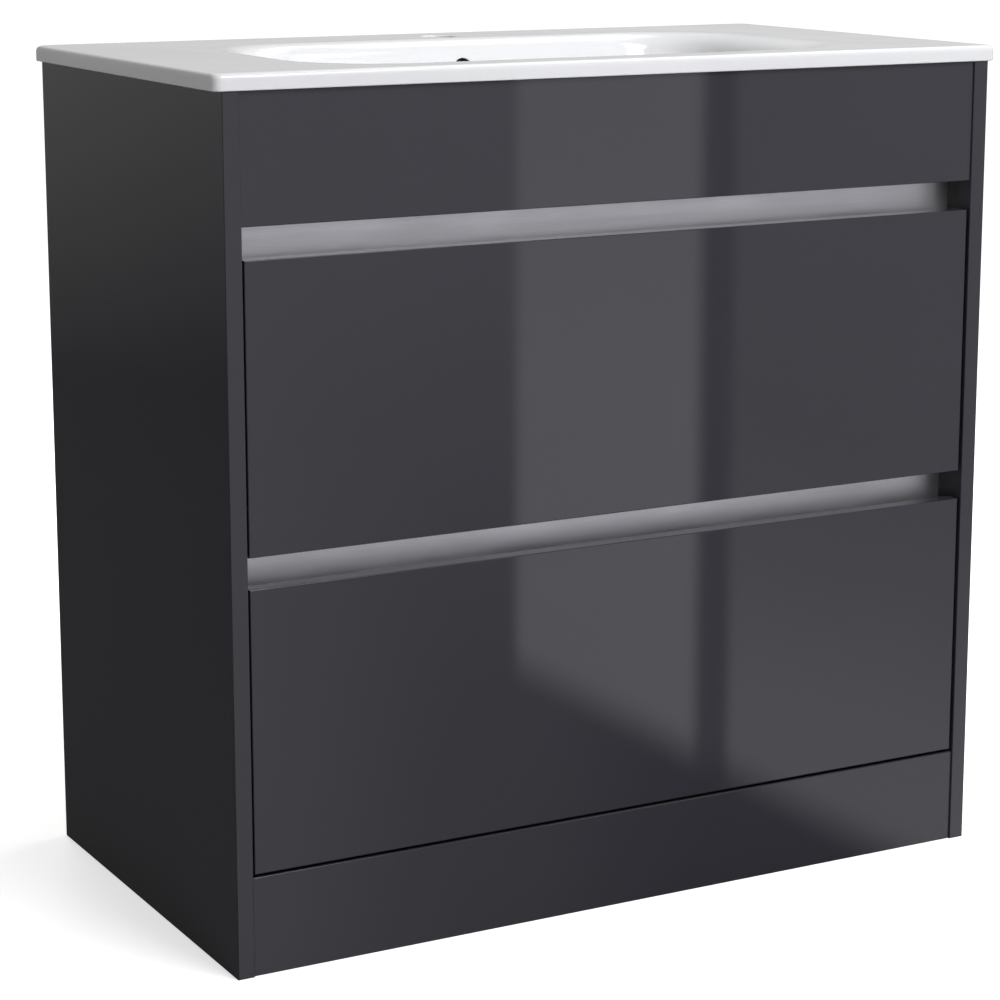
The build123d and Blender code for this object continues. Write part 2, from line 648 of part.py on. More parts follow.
def trap_recess(name, box):
    """The three boards that wall the cut-out for the trap, standing on the bottom."""
    z = (box + BOTTOM_LIFT + BOX_BOTTOM, box + BOX_HEIGHT)
    for side_name, side in SIDES.items():
        with BuildPart() as wall:
            block(span(side, RECESS_OUT - BOARD, RECESS_OUT), (RECESS_BOARD, BOX_REAR), z)
            fillet(wall.faces().sort_by(Axis.Z)[-1].edges().filter_by(Axis.Y), EDGE_RADIUS)
            box_screw_holes(box, True)
        keep(wall.part, f"{name}_recess_{side_name}")
    with BuildPart() as wall:
        block((-RECESS_OUT, RECESS_OUT), (RECESS_BOARD - BOARD, RECESS_BOARD), z)
        fillet(wall.faces().sort_by(Axis.Z)[-1].edges().filter_by(Axis.X), EDGE_RADIUS)
        box_screw_holes(box, True)
    keep(wall.part, f"{name}_recess_front")


def front_brackets(name, box):
    """Steel angles in the corners that hold the front board to the box sides."""
    z = (box + CORNER_RISE, box + CORNER_RISE + CORNER_HEIGHT)
    with BuildPart() as piece:
        for side in SIDES.values():
            leg = span(side, BOX_INSIDE - CORNER_STEEL, BOX_INSIDE)
            block(leg, (REAR_FACE, REAR_FACE + CORNER_LEG), z)
            leg = span(side, BOX_INSIDE - CORNER_LEG, BOX_INSIDE)
            block(leg, (REAR_FACE, REAR_FACE + CORNER_STEEL), z)
            for rise in CORNER_SCREWS:
                at = (side * BOX_INSIDE, REAR_FACE + 18.0, z[0] + rise)
                rod(at, (-side, 0, 0), 2.0, CORNER_STEEL, Mode.SUBTRACT)
                at = (side * (BOX_INSIDE - 18.0), REAR_FACE, z[0] + rise)
                rod(at, (0, 1, 0), 2.0, CORNER_STEEL, Mode.SUBTRACT)
    keep(piece.part, f"{name}_front_brackets")


def drawer_screws(name, box, recess):
    """All screws of one drawer: slide members, front brackets and box corners."""
    with BuildPart() as piece:
        for side in SIDES.values():
            for depth in INNER_SCREWS:
                seat = (side * (BOX_OUTSIDE + SLIDE_STEEL), behind(depth), slide_level(box))
                with Locations(Plane(origin=seat, z_dir=(side, 0, 0))):
                    add(slide_screw.part)
            for rise in CORNER_SCREWS:
                z = box + CORNER_RISE + rise
                seat = (side * (BOX_INSIDE - CORNER_STEEL), REAR_FACE + 18.0, z)
                with Locations(Plane(origin=seat, z_dir=(-side, 0, 0))):
                    add(pan_screw.part)
                seat = (side * (BOX_INSIDE - 18.0), REAR_FACE + CORNER_STEEL, z)
                with Locations(Plane(origin=seat, z_dir=(0, 1, 0))):
                    add(pan_screw.part)
        for start, direction in screw_lines(box, recess):
            rod(start, direction, BOX_SCREW, BOX_SCREW_LENGTH)
    keep(piece.part, f"{name}_drawer_screws")


for level_name, (front, box) in LEVELS.items():
    recess = level_name == "upper"
    drawer_front(level_name, front)
    for side_name, side in SIDES.items():
        drawer_side(level_name, box, side_name, side)
    drawer_backs(level_name, box, recess)
    drawer_bottom(level_name, box, recess)
    if recess:
        trap_recess(level_name, box)
    front_brackets(level_name, box)
    drawer_screws(level_name, box, recess)
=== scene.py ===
"""Looks for a floor-standing basin cabinet: glazed basin, gloss anthracite fronts,
satin aluminium finger channels and two drawers on ball-bearing slides.
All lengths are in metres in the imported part's own frame."""

import math

import bpy
import numpy as np
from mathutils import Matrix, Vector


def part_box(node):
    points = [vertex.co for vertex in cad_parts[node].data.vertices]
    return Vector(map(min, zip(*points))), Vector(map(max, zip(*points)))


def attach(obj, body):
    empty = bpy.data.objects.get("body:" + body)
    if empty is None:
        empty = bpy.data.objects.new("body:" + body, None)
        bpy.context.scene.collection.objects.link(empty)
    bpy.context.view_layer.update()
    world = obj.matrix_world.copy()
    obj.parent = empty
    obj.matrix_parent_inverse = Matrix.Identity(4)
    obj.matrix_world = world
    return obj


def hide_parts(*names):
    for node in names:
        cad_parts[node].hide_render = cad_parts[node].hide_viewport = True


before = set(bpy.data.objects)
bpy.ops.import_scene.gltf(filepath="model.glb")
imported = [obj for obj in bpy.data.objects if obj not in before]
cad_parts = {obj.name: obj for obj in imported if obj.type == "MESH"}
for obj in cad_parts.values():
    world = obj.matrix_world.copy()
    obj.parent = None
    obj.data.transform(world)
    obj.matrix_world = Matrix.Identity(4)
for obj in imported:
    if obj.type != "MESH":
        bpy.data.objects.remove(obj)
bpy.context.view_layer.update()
MM = 0.001

# === Mesh making ============================================================================


def new_piece(name, points, faces, sharp=35.0):
    """A smooth-shaded mesh object whose edges stay crisp where they turn more than an angle."""
    mesh = bpy.data.meshes.new(name)
    mesh.from_pydata(np.asarray(points).tolist(), [], faces)
    mesh.polygons.foreach_set("use_smooth", np.ones(len(mesh.polygons), bool))
    mesh.set_sharp_from_angle(angle=math.radians(sharp))
    mesh.validate()
    piece = bpy.data.objects.new(name, mesh)
    bpy.context.scene.collection.objects.link(piece)
    return piece


def spline_rows(controls, steps):
    """Closed uniform cubic B-spline: row = (1-t)^3/6 a + (3t^3-6t^2+4)/6 b
    + (-3t^3+3t^2+3t+1)/6 c + t^3/6 d for each four neighbouring control rows a, b, c, d."""
    controls = np.asarray(controls, float)
    t = np.arange(steps) / steps
    weights = np.stack([(1 - t) ** 3, 3 * t**3 - 6 * t**2 + 4, -3 * t**3 + 3 * t**2 + 3 * t + 1, t**3], 1)
    neighbours = np.stack([np.roll(controls, 1 - k, axis=0) for k in range(4)], 1)
    rows = np.einsum("sk,nkd->nsd", weights / 6, neighbours)
    return rows.reshape(-1, controls.shape[1])


def rounded_rings(rows, columns, corner_pull=0.06):
    """Rounded rectangles, one for each row of (height, half-width, half-depth, corner radius,
    middle y). In a quarter, a point goes w along the side, then turns through the angle
    (w - side) / (radius + pull), then goes on along the other side, so that corners get more
    points than their length asks for. Quarters are mirrored to close the ring."""
    height, half_x, half_y, radius, middle = (rows[:, k : k + 1] for k in range(5))
    quarter = columns // 4
    index = np.arange(columns)[None, :]
    turn, place = index // quarter, (index % quarter) / quarter
    t = np.where(turn % 2 == 0, place, 1 - place)
    side, top = half_y - radius, half_x - radius
    bend = np.pi / 2 * (radius + corner_pull)
    w = t * (side + bend + top)
    angle = np.clip((w - side) / (radius + corner_pull), 0, np.pi / 2)
    x = half_x - radius + radius * np.cos(angle) - np.clip(w - side - bend, 0, None)
    y = np.minimum(w, side) + radius * np.sin(angle)
    x = x * np.where((turn == 1) | (turn == 2), -1, 1)
    y = y * np.where(turn < 2, 1, -1) + middle
    return np.stack([x, y, np.broadcast_to(height, x.shape)], -1)


def grid_quads(rows, columns):
    """Quads between neighbouring rows and columns, closed both ways, facing along row x column."""
    v, u = np.meshgrid(np.arange(rows), np.arange(columns), indexing="ij")
    down, along = (v + 1) % rows, (u + 1) % columns
    corners = [(v, u), (down, u), (down, along), (v, along)]
    return np.stack([a * columns + b for a, b in corners], -1)


def block_edge(first, last, left, right, columns):
    """Vertex numbers round a block of a grid, in the turning sense of the block's own faces."""
    rows, across = np.arange(first, last), np.arange(left, right)
    return np.concatenate(
        [
            rows * columns + left,
            last * columns + across,
            (rows[::-1] + 1) * columns + right,
            first * columns + across[::-1] + 1,
        ]
    )


def strip(outer, inner):
    """Quads between two closed loops of vertex numbers."""
    return np.stack([outer, np.roll(outer, -1), np.roll(inner, -1), inner], -1)


# === Basin ==================================================================================

basin_low, basin_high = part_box("basin")
RIM_X = basin_high.x
RIM_Y = basin_high.y
RIM_TOP = basin_high.z
RIM_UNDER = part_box("fascia_panel")[1].z
SOCKET_LOW = basin_low.z
DECK = 10 * MM
BOWL_Y = -26 * MM
WASTE_Y = BOWL_Y + 8 * MM
TAP_Y = 161 * MM
TAP_RADIUS = 17.5 * MM
OVERFLOW_Z = RIM_TOP - 29 * MM
OVERFLOW_RADIUS = 10 * MM
DUCT_BACK = 141 * MM

# The grid's columns and its rows for each control row, and how many rows and half columns
# are left out of it for a hole.
COLUMNS = 320
STEPS = 3
TAP_GAP = (14, 4)
OVERFLOW_GAP = (22, 3)
LEVEL_SLACK = 0.05 * MM


def between(first, last, count):
    """Control rows spaced evenly from one row to another."""
    share = np.linspace(0, 1, count)[:, None]
    return np.asarray(first) + share * (np.asarray(last) - np.asarray(first))


def eased(first, corner, last, count):
    """Control rows along a parabola that leaves one row towards a corner and arrives at another:
    (1-t)^2 first + 2t(1-t) corner + t^2 last."""
    t = np.linspace(0, 1, count)[:, None]
    first, corner, last = np.asarray(first), np.asarray(corner), np.asarray(last)
    return (1 - t) ** 2 * first + 2 * t * (1 - t) * corner + t**2 * last


def basin_controls():
    """Control rows of the basin's closed section, from the waste bore up the bowl, over the
    deck and rim, and back under the bowl to the bore. Each is (height, half-width, half-depth,
    corner radius, middle y) in millimetres. Three rows in line hold the surface to a flat."""
    top, under, deck = RIM_TOP / MM, RIM_UNDER / MM, (RIM_TOP - DECK) / MM
    x, y, bowl, waste, low = RIM_X / MM, RIM_Y / MM, BOWL_Y / MM, WASTE_Y / MM, SOCKET_LOW / MM
    bore = [(low + 1, 23, 23, 23), (low + 4, 23, 23, 23), (low + 12, 23, 23, 23), (low + 20, 23, 23, 23)]
    seat = [(698, 23, 23, 23), (699, 23.2, 23.2, 23.2), (699.1, 25, 25, 25), (699.1, 28, 28, 28)]
    seat += [(699.1, 31, 31, 31), (699.3, 32.8, 32.8, 32.8), (701, 33.2, 33.2, 33.2)]
    seat += [(702.2, 34, 34, 34), (702.5, 37, 37, 37)]
    inside = [(702.8, 52, 43, 40), (703.6, 78, 50, 44), (705, 112, 59, 50), (707.5, 146, 73, 58)]
    inside += [(712, 180, 90, 66), (720, 205, 103, 72), (732, 225.5, 113.4, 76), (746, 239.8, 121.2, 76.5)]
    wall = between((752, 243.5, 124, 76, bowl), (777, 253.6, 133.4, 73, bowl), 8)
    lip = eased((780.6, 255, 134.7, 72.5, bowl), (top, 263, 142, 84, bowl), (top, 289, 155, 98, bowl), 9)
    plate = between((top, 294, 159, 99, bowl), (top, x - 12, y - 12, 12, 0), 9)
    rim = [(top, x - 9, y - 9, 9), (top, x - 6.5, y - 6.5, 8), (top - 0.1, x - 4.2, y - 4.2, 8)]
    rim += [(top - 0.9, x - 2, y - 2, 8), (top - 2.4, x - 0.6, y - 0.6, 8), (top - 4.6, x, y, 8)]
    rim += [(top - 7, x, y, 8), (under + 4, x, y, 8), (under + 1.8, x, y, 8)]
    rim += [(under + 0.6, x, y, 8), (under, x - 0.6, y - 0.6, 8), (under, x - 2, y - 2, 8)]
    rim += [(under, x - 8, y - 8, 8), (under, x - 16, y - 14, 8), (under, x - 26, y - 22, 9)]
    rim += [(under + 0.1, x - 27.8, y - 23.8, 10), (under + 2, x - 28, y - 24, 10)]
    rim += [(deck - 0.6, x - 28.2, y - 24.2, 10), (deck, x - 30, y - 26, 10)]
    below = between((deck, x - 33, y - 29, 10, 0), (deck, 299, 163.5, 80, bowl), 7)
    outside = [(deck, 296, 161.5, 80), (deck - 1.5, 291, 158.5, 80), (deck - 5, 287.5, 156, 80)]
    outside += [(776, 283, 153.5, 79), (762, 274, 148.5, 82), (748, 264, 143, 84), (734, 251, 135.5, 86)]
    outside += [(718, 232, 124, 85), (706, 210, 112.5, 82), (697, 182, 98, 76), (692, 150, 82, 70)]
    outside += [(690.2, 116, 68, 62), (690, 84, 58, 54), (690, 56, 48, 46)]
    boss = [(690, 44, 43, 42), (689.8, 39, 39, 39), (688.6, 38, 38, 38), (685, 38, 38, 38)]
    boss += [(low + 6, 38, 38, 38), (low + 2, 38, 38, 38), (low, 37.6, 37.6, 37.6), (low, 35.5, 35.5, 35.5)]
    boss += [(low, 31, 31, 31), (low, 26, 26, 26), (low, 23.8, 23.8, 23.8)]
    parts = [
        [(*row, waste) for row in bore + seat],
        [(*row, waste + (bowl - waste) * k / 3) for k, row in enumerate(inside[:3])],
        [(*row, bowl) for row in inside[3:]],
        wall,
        lip,
        plate,
        [(*row, 0) for row in rim],
        below,
        [(*row, bowl) for row in outside[:-1]],
        [(*outside[-1], (bowl + waste) / 2)],
        [(*row, waste) for row in boss],
    ]
    return np.concatenate([np.asarray(part, float) for part in parts]) * MM


def gap_near(line, target, gap):
    """A block round the middle column, as (first row, last row, left, right): the run of rows
    whose middle lies nearest to a target value, and half the columns each way."""
    rows, half = gap
    nearest = int(np.argmin(np.abs(line - target)))
    return nearest - rows // 2, nearest + rows // 2, COLUMNS // 4 - half, COLUMNS // 4 + half


def hole_rings(edge, centre, axes, radii, depths, depth_axis):
    """Rings of a round hole: centre + radius x unit direction of each edge point from the
    centre, in the plane of two axes, with the third coordinate given for each ring."""
    away = edge[:, axes] - centre
    away = away / np.linalg.norm(away, axis=1, keepdims=True)
    rings = np.zeros((len(radii), len(edge), 3))
    rings[:, :, axes] = centre + np.asarray(radii)[:, None, None] * away
    rings[:, :, depth_axis] = depths
    return rings


def make_basin():
    """The basin's skin is a grid of rounded rings along its closed section. Two blocks of it
    are left out, and their edges run into round rings: the tap hole, right through the deck,
    and the overflow, whose deep rings and end cap are painted near-black as shade in the duct."""
    rows = spline_rows(basin_controls(), STEPS)
    grid = rounded_rings(rows, COLUMNS)
    count = len(rows)
    quads = grid_quads(count, COLUMNS)
    middle = COLUMNS // 4
    back_y, height = grid[:, middle, 1], grid[:, middle, 2]
    order = np.arange(count)
    on_deck = np.abs(height - RIM_TOP) < LEVEL_SLACK
    below_deck = (order > count // 2) & (np.abs(height - RIM_TOP + DECK) < LEVEL_SLACK)
    on_wall = (order < count // 2) & (back_y < TAP_Y - TAP_RADIUS)
    tap_block = gap_near(np.where(on_deck, back_y, np.inf), TAP_Y, TAP_GAP)
    under_block = gap_near(np.where(below_deck, back_y, np.inf), TAP_Y, TAP_GAP)
    wall_block = gap_near(np.where(on_wall, height, np.inf), OVERFLOW_Z, OVERFLOW_GAP)
    kept = np.ones((count, COLUMNS), bool)
    for first, last, left, right in (tap_block, under_block, wall_block):
        kept[first:last, left:right] = False
    faces = [quads[kept]]
    points = [grid.reshape(-1, 3)]
    total = count * COLUMNS

    tap_edge = block_edge(*tap_block, COLUMNS)
    under_edge = block_edge(*under_block, COLUMNS)
    turn = (TAP_GAP[0] - np.arange(len(under_edge))) % len(under_edge)
    radii = TAP_RADIUS + np.array([4.5, 1.7, 0.9, 0.3, 0, 0, 0, 0.4, 1.3, 3.5]) * MM
    depths = (RIM_TOP - np.array([0, 0, 0.15, 0.6, 1.4, 5.0, 8.8, 9.6, 10.0, 10.0]) * MM)[:, None]
    rings = hole_rings(points[0][tap_edge], np.array([0, TAP_Y]), [0, 1], radii, depths, 2)
    loops = [tap_edge]
    loops += [total + k * len(tap_edge) + np.arange(len(tap_edge)) for k in range(len(radii))]
    loops += [under_edge[turn]]
    faces += [strip(a, b) for a, b in zip(loops, loops[1:])]
    points.append(rings.reshape(-1, 3))
    total += rings.shape[0] * rings.shape[1]

    wall_edge = block_edge(*wall_block, COLUMNS)
    radii = OVERFLOW_RADIUS + np.array([2.4, 1.0, 0.3, 0, 0, 0, -1.5, -5.5]) * MM
    rings = hole_rings(points[0][wall_edge], np.array([0, OVERFLOW_Z]), [0, 2], radii, 0.0, 1)
    wall_rows = slice(wall_block[0] - 4, wall_block[1] + 5)
    wall_y = np.interp(rings[:, :, 2], height[wall_rows], back_y[wall_rows])
    sink = np.array([0, 0.1, 0.6, 1.4, 3.2])[:, None] * MM
    rings[:5, :, 1] = wall_y[:5] + sink
    rings[5:, :, 1] = np.array([118.0, 119.4, 120.0])[:, None] * MM
    loops = [wall_edge]
    loops += [total + k * len(wall_edge) + np.arange(len(wall_edge)) for k in range(len(radii))]
    bright = [strip(a, b) for a, b in zip(loops[:4], loops[1:4])]
    # The deepest rings and the cap take the near-black finish: painted shade inside the overflow bore, where
    # the hole turns dark.
    dark = [strip(a, b) for a, b in zip(loops[3:], loops[4:])]
    points.append(rings.reshape(-1, 3))
    total += rings.shape[0] * rings.shape[1]
    points.append([[0, 120.1 * MM, OVERFLOW_Z]])
    last = loops[-1]
    cap = np.stack([last, np.roll(last, -1), np.full(len(last), total)], -1)

    glazed = np.concatenate(faces + bright).tolist()
    shaded = np.concatenate(dark).tolist() + cap.tolist()
    piece = new_piece("basin_glazed", np.concatenate(points), glazed + shaded, 60)
    which = np.zeros(len(piece.data.polygons), np.int32)
    which[len(glazed):] = 1
    return piece, which


def make_overflow_duct():
    """The overflow's duct behind the bowl: rounded rings from a front line that follows the
    bowl's outer wall to a flat back, closed by its first and last rings drawn to a point."""
    low, back = SOCKET_LOW / MM, DUCT_BACK / MM
    levels = [low, low, low + 0.6, low + 3, 690, 698, 706, 718, 734, 748, 762, 776, 788, 790.5, 790.5]
    front = np.array([62, 26, 22, 20, 20, 52, 76, 96, 108, 114, 120, 125, 129, 130, 131])
    half = np.array([1, 21, 23.4, 24, 24, 24, 24, 24, 24, 24, 24, 24, 24, 24, 1])
    end = np.array([90, back - 3, back - 0.6] + [back] * 11 + [back - 3])
    depth = (end - front) / 2
    radius = np.minimum(np.minimum(half, depth) * 0.98, 5)
    table = np.stack([levels, half, depth, radius, (end + front) / 2], 1) * MM
    rings = rounded_rings(table, 64, 0.01)
    count = len(rings)
    quads = grid_quads(count, 64)[:-1].reshape(-1, 4)[:, ::-1]
    points = np.concatenate([rings.reshape(-1, 3), rings[[0, -1]].mean(1)])
    first, last = np.arange(64), (count - 1) * 64 + np.arange(64)
    bottom = np.stack([first, np.full(64, count * 64), np.roll(first, -1)], -1)
    top = np.stack([last, np.roll(last, -1), np.full(64, count * 64 + 1)], -1)
    return new_piece("basin_overflow_duct", points, quads.tolist() + bottom.tolist() + top.tolist(), 50)


# === Folded and extruded sections ===========================================================


def channel_section(near, far, low, high, bend, sheet, lip, arc=10):
    """Outline of a C-section sheet that opens towards -y, as points (y, z). Its middle line
    goes lip, corner, corner, corner, corner, lip: each point is a corner centre plus the bend
    radius times its direction, and the two faces lie half a sheet each side of that line.
    Half circles close the lips."""
    near, far, low, high = near + sheet / 2, far - sheet / 2, low + sheet / 2, high - sheet / 2
    radius = bend + sheet / 2
    corners = [(near, low, 180), (far, low, 270), (far, high, 0), (near, high, 90)]
    centre, angle = [(near + radius, low + lip)], [180.0]
    for y, z, start in corners:
        middle = (y + (radius if y == near else -radius), z + (radius if z == low else -radius))
        centre += [middle] * (arc + 1)
        angle += list(np.linspace(start, start + 90, arc + 1))
    centre.append((near + radius, high - lip))
    angle.append(180.0)
    centre, angle = np.asarray(centre), np.radians(angle)
    away = np.stack([np.cos(angle), np.sin(angle)], 1)
    outer = centre + (radius + sheet / 2) * away
    inner = centre + (radius - sheet / 2) * away
    swing = np.linspace(0, np.pi, 7)[1:-1, None]
    tip_high = centre[-1] + radius * away[-1]
    tip_low = centre[0] + radius * away[0]
    close_high = tip_high + sheet / 2 * np.hstack([-np.cos(swing), -np.sin(swing)])
    close_low = tip_low + sheet / 2 * np.hstack([np.cos(swing), np.sin(swing)])
    return np.concatenate([outer, close_high, inner[::-1], close_low])


def carry_along_x(name, outline, start, end):
    """A section's outline carried straight from one x to another, with flat closed ends."""
    count = len(outline)
    stations = np.linspace(start, end, 5)
    points = np.zeros((len(stations), count, 3))
    points[:, :, 0] = stations[:, None]
    points[:, :, 1:] = outline
    quads = grid_quads(len(stations), count)[:-1].reshape(-1, 4)
    last = len(quads)
    ends = [list(range(count)), list(range(last, last + count))[::-1]]
    return new_piece(name, points.reshape(-1, 3), quads.tolist() + ends)


def make_finger_channel(level):
    """One finger channel, from the CAD channel's own box."""
    low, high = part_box(f"finger_channel_{level}")
    outline = channel_section(low.y, high.y, low.z, high.z, bend=3 * MM, sheet=1.6 * MM, lip=5.2 * MM)
    return carry_along_x(f"finger_channel_{level}_extrusion", outline, low.x, high.x)


# === Node groups: effects that several finishes share =======================================


def feed(tree, inputs, sockets):
    """Give each named input a number, a colour or a link."""
    for key, value in sockets.items():
        if isinstance(value, bpy.types.NodeSocket):
            tree.links.new(value, inputs[key])
        else:
            inputs[key].default_value = value


def put(tree, kind, sockets=None, **settings):
    """A node with its settings and what its inputs are fed."""
    node = tree.nodes.new(kind)
    for key, value in settings.items():
        setattr(node, key, value)
    feed(tree, node.inputs, sockets or {})
    return node


def use(tree, group, **sockets):
    """A node group placed in a material."""
    return put(tree, "ShaderNodeGroup", sockets, node_tree=group).outputs


def new_group(name, inputs, outputs):
    """An empty node group with named inputs (kind, default) and outputs."""
    tree = bpy.data.node_groups.new(name, "ShaderNodeTree")
    for label, (kind, value) in inputs.items():
        socket = tree.interface.new_socket(label, in_out="INPUT", socket_type=f"NodeSocket{kind}")
        socket.default_value = value
    for label, kind in outputs.items():
        tree.interface.new_socket(label, in_out="OUTPUT", socket_type=f"NodeSocket{kind}")
    return tree, tree.nodes.new("NodeGroupInput").outputs, tree.nodes.new("NodeGroupOutput").inputs


def scaled(tree, vector, scale):
    """Coordinates multiplied by a vector."""
    return put(tree, "ShaderNodeVectorMath", {0: vector, 1: scale}, operation="MULTIPLY").outputs[0]


def ranged(tree, value, low, high, to_low=0.0, to_high=1.0, smooth=True):
    """A value moved from one range to another, eased at both ends."""
    kind = "SMOOTHSTEP" if smooth else "LINEAR"
    sockets = {"Value": value, "From Min": low, "From Max": high, "To Min": to_low, "To Max": to_high}
    return put(tree, "ShaderNodeMapRange", sockets, interpolation_type=kind).outputs[0]


def maths(tree, operation, first, second=0.0):
    """One arithmetic step."""
    return put(tree, "ShaderNodeMath", {0: first, 1: second}, operation=operation).outputs[0]


def blended(tree, share, first, second):
    """Two colours mixed by a share."""
    return put(tree, "ShaderNodeMix", {0: share, 6: first, 7: second}, data_type="RGBA").outputs[2]


def crossed(tree, share, first, second):
    """Two values mixed by a share."""
    return put(tree, "ShaderNodeMix", {0: share, 2: first, 3: second}).outputs[0]


def noise(tree, vector, scale, detail=3.0, roughness=0.5):
    """Soft noise between about 0.3 and 0.7."""
    sockets = {"Vector": vector, "Scale": scale, "Detail": detail, "Roughness": roughness}
    return put(tree, "ShaderNodeTexNoise", sockets).outputs["Fac"]


def build_edge_wear():
    """Mask of rubbed edges: how far the surface turns within a radius, broken up by noise."""
    tree, given, result = new_group(
        "edge_wear",
        {"Coordinates": ("Vector", (0, 0, 0)), "Radius": ("Float", 0.0008), "Amount": ("Float", 0.5)},
        {"Mask": "Float"},
    )
    soft = put(tree, "ShaderNodeBevel", {"Radius": given["Radius"]}, samples=4)
    flat = put(tree, "ShaderNodeNewGeometry")
    normals = {0: soft.outputs[0], 1: flat.outputs["Normal"]}
    facing = put(tree, "ShaderNodeVectorMath", normals, operation="DOT_PRODUCT").outputs["Value"]
    turned = ranged(tree, facing, 0.995, 0.80)
    patches = ranged(tree, noise(tree, given["Coordinates"], 38.0, 4.0, 0.6), 0.42, 0.66)
    mask = maths(tree, "MULTIPLY", turned, patches)
    tree.links.new(maths(tree, "MULTIPLY", mask, given["Amount"]), result["Mask"])
    return tree


def build_sprayed_lacquer():
    """Height of the long ripple and the fine orange peel of a sprayed and polished lacquer."""
    tree, given, result = new_group(
        "sprayed_lacquer",
        {"Coordinates": ("Vector", (0, 0, 0)), "Ripple": ("Float", 0.5), "Peel": ("Float", 0.5)},
        {"Height": "Float"},
    )
    ripple = maths(tree, "MULTIPLY", noise(tree, given["Coordinates"], 26.0, 2.0), given["Ripple"])
    peel = maths(tree, "MULTIPLY", noise(tree, given["Coordinates"], 420.0, 2.0), given["Peel"])
    tree.links.new(maths(tree, "ADD", ripple, peel), result["Height"])
    return tree


def build_handling_marks():
    """Roughness that drifts over the surface, with soft wiped patches and fine specks."""
    tree, given, result = new_group(
        "handling_marks",
        {
            "Coordinates": ("Vector", (0, 0, 0)),
            "Size": ("Float", 5.0),
            "Least": ("Float", 0.1),
            "Most": ("Float", 0.2),
        },
        {"Roughness": "Float", "Patches": "Float"},
    )
    patches = ranged(tree, noise(tree, given["Coordinates"], given["Size"], 4.0, 0.55), 0.3, 0.72)
    specks = ranged(tree, noise(tree, given["Coordinates"], 900.0, 1.0), 0.55, 0.8)
    mixed = maths(tree, "ADD", patches, maths(tree, "MULTIPLY", specks, 0.25))
    span = maths(tree, "SUBTRACT", given["Most"], given["Least"])
    rough = maths(tree, "ADD", maths(tree, "MULTIPLY", mixed, span), given["Least"])
    tree.links.new(rough, result["Roughness"])
    tree.links.new(patches, result["Patches"])
    return tree


def build_brushed_lines():
    """Fine drawn lines: noise squeezed across the lines and stretched along them."""
    tree, given, result = new_group(
        "brushed_lines",
        {"Coordinates": ("Vector", (0, 0, 0)), "Stretch": ("Vector", (4.0, 900.0, 900.0))},
        {"Lines": "Float", "Broad": "Float"},
    )
    fine = noise(tree, scaled(tree, given["Coordinates"], given["Stretch"]), 1.0, 3.0, 0.6)
    half = scaled(tree, scaled(tree, given["Coordinates"], given["Stretch"]), (0.3, 0.12, 0.12))
    tree.links.new(ranged(tree, fine, 0.3, 0.7, smooth=False), result["Lines"])
    tree.links.new(ranged(tree, noise(tree, half, 1.0, 2.0), 0.3, 0.7), result["Broad"])
    return tree


def build_linen_weave():
    """Printed linen: threads both ways over a face, each a sine across it, uneven in width and
    strength. The third direction's threads fade out, by how squarely the face looks that way."""
    tree, given, result = new_group(
        "linen_weave",
        {"Coordinates": ("Vector", (0, 0, 0)), "Thread": ("Float", 2800.0)},
        {"Threads": "Float"},
    )
    wobble = noise(tree, given["Coordinates"], 60.0, 2.0)
    parts = put(tree, "ShaderNodeSeparateXYZ", {0: given["Coordinates"]})
    face = put(tree, "ShaderNodeSeparateXYZ", {0: put(tree, "ShaderNodeNewGeometry").outputs["Normal"]})
    total = None
    for label, stretch in (("X", (900, 900, 12)), ("Y", (12, 900, 900)), ("Z", (900, 12, 900))):
        line = maths(tree, "MULTIPLY", parts.outputs[label], given["Thread"])
        wave = maths(tree, "SINE", maths(tree, "ADD", line, maths(tree, "MULTIPLY", wobble, 5.0)))
        uneven = noise(tree, scaled(tree, given["Coordinates"], stretch), 1.0, 2.0)
        across = maths(tree, "SUBTRACT", 1.0, maths(tree, "ABSOLUTE", face.outputs[label]))
        both = maths(tree, "MULTIPLY", maths(tree, "MULTIPLY", maths(tree, "ADD", wave, 1.0), uneven), across)
        total = both if total is None else maths(tree, "ADD", total, both)
    tree.links.new(ranged(tree, total, 0.2, 1.8, smooth=False), result["Threads"])
    return tree


def build_pressed_core():
    """Colour of an uncoated board edge: pressed fibres in pale brown with darker flecks."""
    tree, given, result = new_group(
        "pressed_core",
        {"Coordinates": ("Vector", (0, 0, 0)), "Fleck": ("Float", 1.0)},
        {"Color": "Color", "Height": "Float"},
    )
    fibres = noise(tree, scaled(tree, given["Coordinates"], (900, 900, 260)), 1.0, 4.0, 0.7)
    flecks = put(tree, "ShaderNodeTexVoronoi", {"Vector": given["Coordinates"], "Scale": 420.0})
    dark = maths(tree, "MULTIPLY", ranged(tree, flecks.outputs["Distance"], 0.5, 0.1), given["Fleck"])
    base = blended(tree, fibres, (0.20, 0.125, 0.068, 1), (0.42, 0.29, 0.175, 1))
    tree.links.new(blended(tree, dark, base, (0.13, 0.08, 0.045, 1)), result["Color"])
    tree.links.new(fibres, result["Height"])
    return tree


EDGE_WEAR = build_edge_wear()
SPRAYED_LACQUER = build_sprayed_lacquer()
HANDLING_MARKS = build_handling_marks()
BRUSHED_LINES = build_brushed_lines()
LINEN_WEAVE = build_linen_weave()
PRESSED_CORE = build_pressed_core()

# === Finishes ===============================================================================


def new_finish(name, **uniform):
    """A material with its shader, the object's coordinates, and plain values on the shader."""
    finish = bpy.data.materials.new(name)
    finish.use_nodes = True
    tree = finish.node_tree
    shader = tree.nodes["Principled BSDF"]
    for key, value in uniform.items():
        shader.inputs[key.replace("_", " ")].default_value = value
    place = put(tree, "ShaderNodeTexCoord").outputs["Object"]
    return finish, tree, shader.inputs, place


def bumped(tree, height, distance, strength=1.0):
    """A normal pushed about by a height."""
    sockets = {"Height": height, "Distance": distance, "Strength": strength}
    return put(tree, "ShaderNodeBump", sockets).outputs[0]


